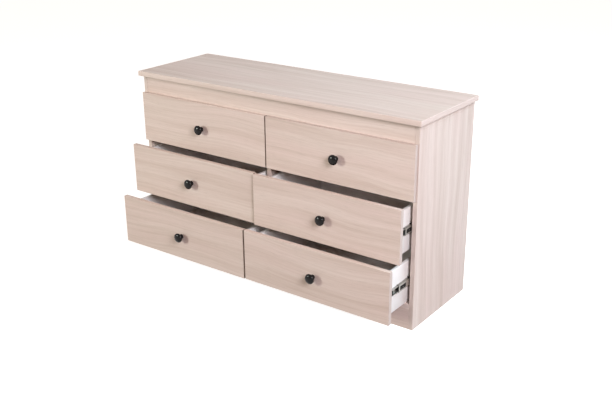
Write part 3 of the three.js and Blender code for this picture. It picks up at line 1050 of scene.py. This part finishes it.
class CHEST_OT_drawer_boxes(Operator):
    """Build the folded white drawer boxes with their cams, and finish the bottoms"""

    bl_idname = "chest.drawer_boxes"
    bl_label = "Drawer Boxes"

    def execute(self, context):
        sizes = context.scene.chest_drawers
        for _, name, body in drawers():
            self.add_box(name, body, sizes)
            self.add_cams(name, body, sizes)
            finish_node(f"{body}_bottom", "Painted hardboard")
        return {"FINISHED"}

    def half_width(self, body, sizes):
        """Half the width of a box, worked out from the bottom in its grooves."""
        low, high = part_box(f"{body}_bottom")
        held = sizes.groove_depth - sizes.groove_room
        return (high.x - low.x) / 2.0 - held + sizes.box_board

    def section(self, body, sizes):
        """Outline of the box's board: (distance inward, height) points round the wrapped
        edges and the groove."""
        low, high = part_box(f"{body}_box")
        bottom_low, bottom_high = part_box(f"{body}_bottom")
        bend = sizes.fold_rounding
        thick = sizes.box_board
        deep = thick - sizes.groove_depth
        groove_low = bottom_low.z - sizes.groove_slack
        groove_high = bottom_high.z + sizes.groove_slack
        corners = [((bend, low.z + bend), 2), ((thick - bend, low.z + bend), 3),
                   ((thick - bend, high.z - bend), 0), ((bend, high.z - bend), 1)]
        arcs = [arc(centre, bend, turns * QUARTER_TURN, (turns + 1) * QUARTER_TURN, FOLD_STEPS)
                for centre, turns in corners]
        groove = [(thick, groove_low), (deep, groove_low), (deep, groove_high),
                  (thick, groove_high)]
        return arcs[0] + arcs[1] + groove + arcs[2] + arcs[3]

    def add_box(self, name, body, sizes):
        """One board folded round two corners, with wrapped edges and a groove inside."""
        low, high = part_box(f"{body}_box")
        middle = (low.x + high.x) / 2.0
        half = self.half_width(body, sizes)
        bend = sizes.fold_rounding
        section = self.section(body, sizes)
        turns = [QUARTER_TURN * i / FOLD_STEPS for i in range(FOLD_STEPS + 1)]
        stations = [(-1.0, None)]
        stations += [(-1.0, turn) for turn in turns]
        stations += [(1.0, turn) for turn in reversed(turns)]
        stations += [(1.0, None)]
        bm = bmesh.new()
        rings = []
        for hand, turn in stations:
            ring = []
            for inward, height in section:
                if turn is None:
                    reach, along = half - inward, low.y
                elif inward < bend:
                    reach = half - bend + (bend - inward) * math.cos(turn)
                    along = high.y - bend + (bend - inward) * math.sin(turn)
                else:
                    reach, along = half - inward, high.y - inward
                ring.append(bm.verts.new((middle + hand * reach, along, height)))
            rings.append(ring)
        for near, far in zip(rings, rings[1:]):
            for i, j in around(len(section)):
                bm.faces.new((near[i], near[j], far[j], far[i]))
        bm.faces.new(rings[0])
        bm.faces.new(rings[-1])
        bmesh.ops.remove_doubles(bm, verts=bm.verts[:], dist=MERGE_DISTANCE)
        add_piece(f"{name}_folded_box", bm, finishes("White foil"), body, "white_board",
                  f"{body}_box", smooth_angle=ROUND_CREASE)

    def add_cams(self, name, body, sizes):
        """Two cams in the inner face of each side, close behind the front."""
        low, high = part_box(f"{body}_box")
        middle = (low.x + high.x) / 2.0
        inner = self.half_width(body, sizes) - sizes.box_board
        cam = scaled(CAM_PROFILE, CAM_HEIGHT * sizes.cam_radius, sizes.cam_radius)
        bm = bmesh.new()
        for hand in HANDS:
            for share in CAM_PLACES:
                centre = (middle + hand * inner, low.y + sizes.cam_setback,
                          low.z + share * (high.z - low.z))
                turned(bm, cam, centre, X_AXIS, -hand, CAM_FACETS)
        add_piece(f"{name}_cams", bm, finishes("Zinc-plated steel"), body, "slide_steel",
                  smooth_angle=STEEL_CREASE)


class CHEST_OT_drawer_knobs(Operator):
    """Turn the six black knobs and the screws behind the fronts"""

    bl_idname = "chest.drawer_knobs"
    bl_label = "Drawer Knobs"

    def execute(self, context):
        sizes = context.scene.chest_knobs
        for _, name, body in drawers():
            low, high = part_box(f"{body}_knob")
            centre = ((low.x + high.x) / 2.0, high.y, (low.z + high.z) / 2.0)
            bm = bmesh.new()
            turned(bm, self.profile(high.y - low.y, (high.x - low.x) / 2.0, sizes), centre,
                   Y_AXIS, -1.0, sizes.segments)
            add_piece(f"{name}_turned_knob", bm, finishes("Knob black"), body,
                      "black_gloss", f"{body}_knob", smooth_angle=ROUND_CREASE)
            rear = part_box(f"{body}_front")[1].y
            self.add_screw(name, body, (centre[0], rear, centre[2]), sizes)
        return {"FINISHED"}

    def profile(self, length, head_radius, sizes):
        """Foot, neck, swelling underside and crown, as (distance, radius) points."""
        rim = length - sizes.crown
        head_start = rim - sizes.underside_depth
        edge = FOOT_EASE * sizes.foot_depth
        swell = head_radius - sizes.neck_radius
        turns = [QUARTER_TURN * i / sizes.curve_steps for i in range(sizes.curve_steps)]
        points = [(0.0, 0.0), (0.0, sizes.foot_radius - edge), (edge, sizes.foot_radius),
                  (sizes.foot_depth - edge, sizes.foot_radius),
                  (sizes.foot_depth, sizes.foot_radius - edge),
                  (sizes.foot_depth + sizes.foot_ease, sizes.neck_radius)]
        points += [(head_start + sizes.underside_depth * (1.0 - math.cos(turn)),
                    sizes.neck_radius + swell * math.sin(turn)) for turn in turns]
        points += [(rim + sizes.crown * math.sin(turn), head_radius * math.cos(turn))
                   for turn in turns]
        return points + [(length, 0.0)]

    def add_screw(self, name, body, centre, sizes):
        """A washer and a pan head with a recess, on the front's rear face."""
        washer = WASHER_HEIGHT * sizes.washer_radius
        head = scaled(PAN_HEAD, PAN_HEIGHT * sizes.screw_radius, sizes.screw_radius)
        profile = [(0.0, 0.0), (0.0, sizes.washer_radius), (washer, sizes.washer_radius)]
        profile += [(washer + distance, radius) for distance, radius in head]
        bm = bmesh.new()
        turned(bm, profile, centre, Y_AXIS, 1.0, KNOB_SCREW_FACETS)
        add_piece(f"{name}_knob_screw", bm, finishes("Zinc-plated steel"), body,
                  "slide_steel", smooth_angle=STEEL_CREASE)


def heights(node):
    """Middle and half of a node's height."""
    low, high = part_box(node)
    return (low.z + high.z) / 2.0, (high.z - low.z) / 2.0


class SlidePlace:
    """One ball slide's nodes, and the way from the board that carries it to the drawer."""

    def __init__(self, drawer, column, place, seam):
        self.name = f"{drawer}_{place}"
        self.cabinet = f"{self.name}_cabinet_member"
        self.between = f"{self.name}_intermediate_member"
        opens_right = (column == "left") == (place == "outer")
        self.hand = 1.0 if opens_right else -1.0
        low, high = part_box(self.cabinet)
        board_side = low.x if opens_right else high.x
        self.carrier = board_side - self.hand * seam

    def at(self, depth):
        """Where a depth from the carrying board lies across the chest."""
        return self.carrier + self.hand * depth


class CHEST_OT_ball_slides(Operator):
    """Build the drawer members, ball cages, stops and screws of the twelve slides"""

    bl_idname = "chest.ball_slides"
    bl_label = "Ball Slides"

    def execute(self, context):
        sizes = context.scene.chest_slides
        for column, name, body in drawers():
            for place in SLIDE_PLACES:
                slide = SlidePlace(name, column, place, sizes.seam)
                finish_node(slide.cabinet, "Zinc-plated steel")
                finish_node(slide.between, "Zinc-plated steel")
                self.add_cap(slide, sizes)
                self.add_drawer_member(slide, body, sizes)
                self.add_drawer_fittings(slide, body, sizes)
                self.add_rear_cage(slide, sizes)
                self.add_front_cage(slide, f"{name}_intermediates", sizes)
                self.add_slot_covers(slide, f"{name}_intermediates", sizes)
        return {"FINISHED"}

    def member_half(self, slide, sizes):
        """Half the height of the drawer member that runs in the intermediate member."""
        return heights(slide.between)[1] - sizes.steel - sizes.race_room

    def run(self, body, sizes):
        """Where the drawer member starts and ends along the drawer."""
        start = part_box(f"{body}_box")[0].y + sizes.setback
        cabinet_low, cabinet_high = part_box(body.replace("_drawer", "_outer_cabinet_member"))
        length = cabinet_high.y - cabinet_low.y - sizes.shortfall
        return start, start + length

    def channel(self, slide, web, tip, centre, half, sizes):
        """Outline of a bent channel from tip to tip, between two depths of the slide."""
        way = 1.0 if tip > web else -1.0
        deep = abs(tip - web)
        bend, steel, steps = sizes.bend, sizes.steel, sizes.bend_steps
        inner = bend - steel
        upper, lower = (bend, half - bend), (bend, bend - half)
        top, back, bottom = QUARTER_TURN, 2.0 * QUARTER_TURN, 3.0 * QUARTER_TURN
        outline = [(deep, half)]
        outline += arc(upper, bend, top, back, steps)
        outline += arc(lower, bend, back, bottom, steps)
        outline += [(deep, -half), (deep, steel - half)]
        outline += arc(lower, inner, bottom, back, steps)
        outline += arc(upper, inner, back, top, steps)
        outline += [(deep, half - steel)]
        return [(slide.at(web + way * depth), centre + height) for depth, height in outline]

    def add_plate(self, bm, slide, ends, centre, half, depths):
        """A flat plate between two ends along the slide and two depths."""
        return prism(bm, rectangle(ends, (centre - half, centre + half)), X_AXIS,
                     slide.at(depths[0]), slide.at(depths[1]))

    def add_parts(self, name, bm, black, body, smooth_angle=STEEL_CREASE):
        """Adds a piece that is black plastic on the faces given, and steel on the others."""
        for face in bm.faces:
            face.material_index = BLACK_PART if face in black else STEEL_PART
        add_piece(name, bm, finishes("Black plastic", "Zinc-plated steel"), body,
                  "slide_steel", smooth_angle=smooth_angle)

    def add_cap(self, slide, sizes):
        """A black cap on the front end of the cabinet member."""
        low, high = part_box(slide.cabinet)
        outline = self.channel(slide, sizes.seam, sizes.seam + high.x - low.x,
                               *heights(slide.cabinet), sizes)
        bm = bmesh.new()
        prism(bm, outline, Y_AXIS, low.y - sizes.cap_thickness, low.y)
        add_piece(f"{slide.name}_end_cap", bm, finishes("Black plastic"), "carcass",
                  "slide_steel", smooth_angle=STEEL_CREASE)

    def add_drawer_member(self, slide, body, sizes):
        """The channel screwed to the drawer box."""
        outline = self.channel(slide, sizes.space, sizes.drawer_member_start,
                               heights(slide.between)[0], self.member_half(slide, sizes),
                               sizes)
        bm = bmesh.new()
        prism(bm, outline, Y_AXIS, *self.run(body, sizes))
        add_piece(f"{slide.name}_drawer_member", bm, finishes("Zinc-plated steel"), body,
                  "slide_steel", f"{body}_box", smooth_angle=STEEL_CREASE)

    def add_drawer_fittings(self, slide, body, sizes):
        """Front stop, release lever and screws inside the drawer member."""
        centre = heights(slide.between)[0]
        start, end = self.run(body, sizes)
        half = self.member_half(slide, sizes) - sizes.steel
        floor = sizes.space - sizes.steel
        brim = sizes.drawer_member_start + sizes.member_gap
        stop = start + sizes.stop_start
        bm = bmesh.new()
        self.add_stop(bm, slide, (brim + sizes.stop_thickness, brim), stop, centre, half,
                      sizes)
        foot = start + sizes.lever_start
        lever = scaled(LEVER_OUTLINE, sizes.lever_length, sizes.lever_width / 2.0)
        prism(bm, [(foot + along, centre + across) for along, across in lever], X_AXIS,
              slide.at(floor), slide.at(floor - sizes.lever_thickness))
        black = set(bm.faces)
        self.add_pad(bm, slide, (floor, brim + sizes.pad_step), stop, centre, half, sizes)
        head = scaled(SCREW_PROFILE, sizes.screw_height, sizes.screw_radius)
        place = start + sizes.screw_setback + sizes.screw_pitch
        while place < end - sizes.screw_setback / 2.0:
            turned(bm, head, (slide.at(floor), place, centre), X_AXIS, -slide.hand,
                   SLIDE_SCREW_FACETS)
            place += sizes.screw_pitch
        self.add_parts(f"{slide.name}_drawer_fittings", bm, black, body)

    def add_pad(self, bm, slide, depths, stop, centre, half, sizes):
        """The raised steel pad in the front stop's opening."""
        room = sizes.member_gap
        first = stop + sizes.stop_bar + room
        last = stop + sizes.stop_length - sizes.stop_bar - room
        made = self.add_plate(bm, slide, (first, last), centre,
                              half - sizes.stop_rim - room, depths)
        edges = list(dict.fromkeys(edge for face in made for edge in face.edges))
        bmesh.ops.bevel(bm, geom=edges, offset=PAD_EASE * room, segments=PAD_EASE_STEPS,
                        profile=ROUND_PROFILE, affect="EDGES")

    def add_stop(self, bm, slide, depths, stop, centre, half, sizes):
        """The black front stop: a flat plate with a rectangular opening."""
        bar, rim = sizes.stop_bar, sizes.stop_rim
        first, last = stop, stop + sizes.stop_length
        low, high = centre - half, centre + half
        outlines = {"outer": rectangle((first, last), (low, high)),
                    "inner": rectangle((first + bar, last - bar), (low + rim, high - rim))}
        corners = {}
        for depth in depths:
            for label, outline in outlines.items():
                corners[depth, label] = [bm.verts.new((slide.at(depth), y, z))
                                         for y, z in outline]
        for i, j in around(len(outlines["outer"])):
            for depth in depths:
                out, into = corners[depth, "outer"], corners[depth, "inner"]
                bm.faces.new((out[i], out[j], into[j], into[i]))
            for label in outlines:
                near, far = corners[depths[0], label], corners[depths[1], label]
                bm.faces.new((near[i], near[j], far[j], far[i]))

    def add_rear_cage(self, slide, sizes):
        """Balls between the cabinet and intermediate members."""
        low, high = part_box(slide.cabinet)
        centre, cabinet_half = heights(slide.cabinet)
        race = (heights(slide.between)[1], cabinet_half - sizes.steel)
        depths = (sizes.drawer_member_start, high.x - low.x - sizes.steel)
        self.add_race(f"{slide.name}_rear_cage", "carcass", slide, depths, centre, race,
                      low.y, sizes)

    def add_front_cage(self, slide, body, sizes):
        """Balls between the intermediate and drawer members."""
        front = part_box(slide.between)[0].y + sizes.slot_setback
        half = self.member_half(slide, sizes)
        depths = (sizes.drawer_member_start + sizes.member_gap, CAGE_DEPTH * sizes.space)
        self.add_race(f"{slide.name}_front_cage", body, slide, depths,
                      heights(slide.between)[0], (half, half + sizes.race_room), front, sizes)

    def add_race(self, name, body, slide, depths, centre, race, front, sizes):
        """An upper and a lower black strip with balls, and a solid stop at its front end."""
        middle = (race[0] + race[1]) / 2.0
        room = race[1] - race[0]
        levels = [centre + side * middle for side in HANDS]
        stop = CAGE_STOP_LENGTH * sizes.cage_length
        balls, end = front + stop, front + sizes.cage_length
        bm = bmesh.new()
        for level in levels:
            self.add_plate(bm, slide, (front, balls), level, CAGE_STOP_HALF * room, depths)
            self.add_plate(bm, slide, (balls, end), level, CAGE_STRIP_HALF * room, depths)
        black = set(bm.faces)
        lane = slide.at((depths[0] + depths[1]) / 2.0)
        step = (sizes.cage_length - stop) / (sizes.ball_count + 1)
        for level in levels:
            for i in range(sizes.ball_count):
                place = (lane, balls + (i + 1) * step, level)
                bmesh.ops.create_uvsphere(
                    bm, u_segments=BALL_FACETS, v_segments=BALL_RINGS,
                    radius=BALL_RADIUS * room, matrix=Matrix.Translation(place))
        self.add_parts(name, bm, black, body)

    def add_slot_covers(self, slide, body, sizes):
        """Black covers behind the slots of the intermediate member, each with a rivet. Their
        black is painted shade: it stands for the dark seen through the slots into the channel.
        """
        low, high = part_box(slide.between)
        centre = heights(slide.between)[0]
        web = sizes.drawer_member_start - sizes.member_gap - sizes.steel
        near, far = (web - share * sizes.member_gap for share in COVER_DEPTHS)
        setback = sizes.slot_setback + sizes.slot_length / 2.0
        places = (low.y + setback, high.y - setback)
        half_length = sizes.cover_length / 2.0
        bm = bmesh.new()
        for place in places:
            self.add_plate(bm, slide, (place - half_length, place + half_length), centre,
                           sizes.cover_width / 2.0, (near, far))
        black = set(bm.faces)
        rivet = scaled(RIVET_PROFILE, RIVET_HEIGHT * sizes.member_gap, sizes.rivet_radius)
        for place in places:
            turned(bm, rivet, (slide.at(far), place, centre), X_AXIS, -slide.hand,
                   RIVET_FACETS)
        self.add_parts(f"{slide.name}_slot_covers", bm, black, body, smooth_angle=None)


class CHEST_OT_studio(Operator):
    """Set up the floor, lamps, surroundings and camera"""

    bl_idname = "chest.studio"
    bl_label = "Studio"

    def execute(self, context):
        settings = context.scene.chest_studio
        self.add_floor(context.scene, settings)
        self.add_world(context.scene, settings)
        for name in ("key", "window", "rear"):
            self.add_lamp(context.scene, name, settings)
        self.add_camera(context.scene, settings)
        context.scene.view_settings.view_transform = "Standard"
        return {"FINISHED"}

    def seen(self, tree):
        """1 for rays that show the surroundings: straight, mirrored or through glass."""
        path = tree.nodes.new("ShaderNodeLightPath").outputs
        mirrored = math_node(tree, "MAXIMUM", path["Is Camera Ray"], path["Is Glossy Ray"])
        return math_node(tree, "MAXIMUM", mirrored, path["Is Transmission Ray"])

    def add_floor(self, scene, settings):
        """A pale floor that keeps the chest's shadow."""
        bm = bmesh.new()
        bmesh.ops.create_grid(bm, x_segments=FLOOR_CELLS, y_segments=FLOOR_CELLS,
                              size=settings.floor_size / 2.0)
        mesh = bpy.data.meshes.new("studio_floor")
        bm.to_mesh(mesh)
        bm.free()
        floor = bpy.data.objects.new("studio_floor", mesh)
        scene.collection.objects.link(floor)
        material = bpy.data.materials.new("Studio floor")
        tree = empty_tree(material)
        seen = self.seen(tree)
        colours = scene.chest_colours
        shade = mix_colour(tree, seen, colours.floor_bounce, colours.floor)
        matt = add_node(tree, "ShaderNodeBsdfDiffuse", {"Color": shade})
        white = add_node(tree, "ShaderNodeEmission", {
            "Color": (*WHITE, 1.0), "Strength": settings.floor_glow / settings.floor_lift})
        share = math_node(tree, "MULTIPLY", seen, settings.floor_lift)
        mixed = add_node(tree, "ShaderNodeMixShader",
                         {0: share, 1: matt.outputs[0], 2: white.outputs[0]})
        add_node(tree, "ShaderNodeOutputMaterial", {0: mixed.outputs[0]})
        mesh.materials.append(material)

    def add_world(self, scene, settings):
        """White surroundings to look at, and a softer light from all round."""
        world = bpy.data.worlds.new("Studio surroundings")
        tree = empty_tree(world)
        seen = self.seen(tree)
        strength = remap(tree, seen, FULL_RANGE, (settings.ambient, 1.0))
        colour = mix_colour(tree, seen, settings.ambient_colour, WHITE)
        light = add_node(tree, "ShaderNodeBackground", {"Color": colour, "Strength": strength})
        add_node(tree, "ShaderNodeOutputWorld", {0: light.outputs[0]})
        scene.world = world

    def add_lamp(self, scene, name, settings):
        """A square area lamp, turned to the lamp target."""
        lamp = bpy.data.lights.new(f"{name}_lamp", "AREA")
        lamp.size = getattr(settings, f"{name}_size")
        lamp.energy = getattr(settings, f"{name}_power")
        lamp.color = getattr(settings, f"{name}_colour")
        holder = bpy.data.objects.new(f"{name}_lamp", lamp)
        scene.collection.objects.link(holder)
        holder.location = getattr(settings, f"{name}_place")
        aim = Vector(settings.aim) - holder.location
        holder.rotation_euler = aim.to_track_quat("-Z", "Y").to_euler()

    def add_camera(self, scene, settings):
        """The camera at the photograph's view."""
        lens = bpy.data.cameras.new("chest_camera")
        lens.sensor_fit = "HORIZONTAL"
        lens.sensor_width = SENSOR_WIDTH
        lens.lens = settings.focal_length
        lens.clip_end = VIEW_REACH
        camera = bpy.data.objects.new("chest_camera", lens)
        scene.collection.objects.link(camera)
        facing = (Matrix.Rotation(settings.camera_turn, 4, "Z")
                  @ Matrix.Rotation(QUARTER_TURN + settings.camera_tilt, 4, "X")
                  @ Matrix.Rotation(settings.camera_roll, 4, "Z"))
        camera.location = settings.camera_place
        camera.rotation_euler = facing.to_euler()
        scene.camera = camera


class CHEST_PT_sidebar(Panel):
    """Lists the steps that dress the chest"""

    bl_idname = "CHEST_PT_sidebar"
    bl_label = "Commode Chest"
    bl_space_type = "VIEW_3D"
    bl_region_type = "UI"
    bl_category = "Chest"

    def draw(self, context):
        for operator in OPERATORS:
            self.layout.operator(operator.bl_idname)
        for settings, kind in SETTINGS:
            group = getattr(context.scene, settings)
            box = self.layout.box()
            box.label(text=kind.__doc__)
            for name in kind.__annotations__:
                box.prop(group, name)


OPERATORS = (
    CHEST_OT_studio,
    CHEST_OT_carcass_boards,
    CHEST_OT_back_sheets,
    CHEST_OT_drawer_fronts,
    CHEST_OT_drawer_boxes,
    CHEST_OT_drawer_knobs,
    CHEST_OT_ball_slides,
)
SETTINGS = (
    ("chest_boards", BoardSizes),
    ("chest_drawers", DrawerSizes),
    ("chest_knobs", KnobSizes),
    ("chest_slides", SlideSizes),
    ("chest_colours", FinishColours),
    ("chest_studio", StudioSettings),
)


def register():
    for settings, kind in SETTINGS:
        bpy.utils.register_class(kind)
        setattr(bpy.types.Scene, settings, PointerProperty(type=kind))
    for kind in (*OPERATORS, CHEST_PT_sidebar):
        bpy.utils.register_class(kind)


def unregister():
    for kind in reversed((*OPERATORS, CHEST_PT_sidebar)):
        bpy.utils.unregister_class(kind)
    for settings, kind in reversed(SETTINGS):
        delattr(bpy.types.Scene, settings)
        bpy.utils.unregister_class(kind)


def main():
    register()
    bpy.ops.chest.studio()
    bpy.ops.chest.carcass_boards()
    bpy.ops.chest.back_sheets()
    bpy.ops.chest.drawer_fronts()
    bpy.ops.chest.drawer_boxes()
    bpy.ops.chest.drawer_knobs()
    bpy.ops.chest.ball_slides()


if __name__ == "__main__":
    main()
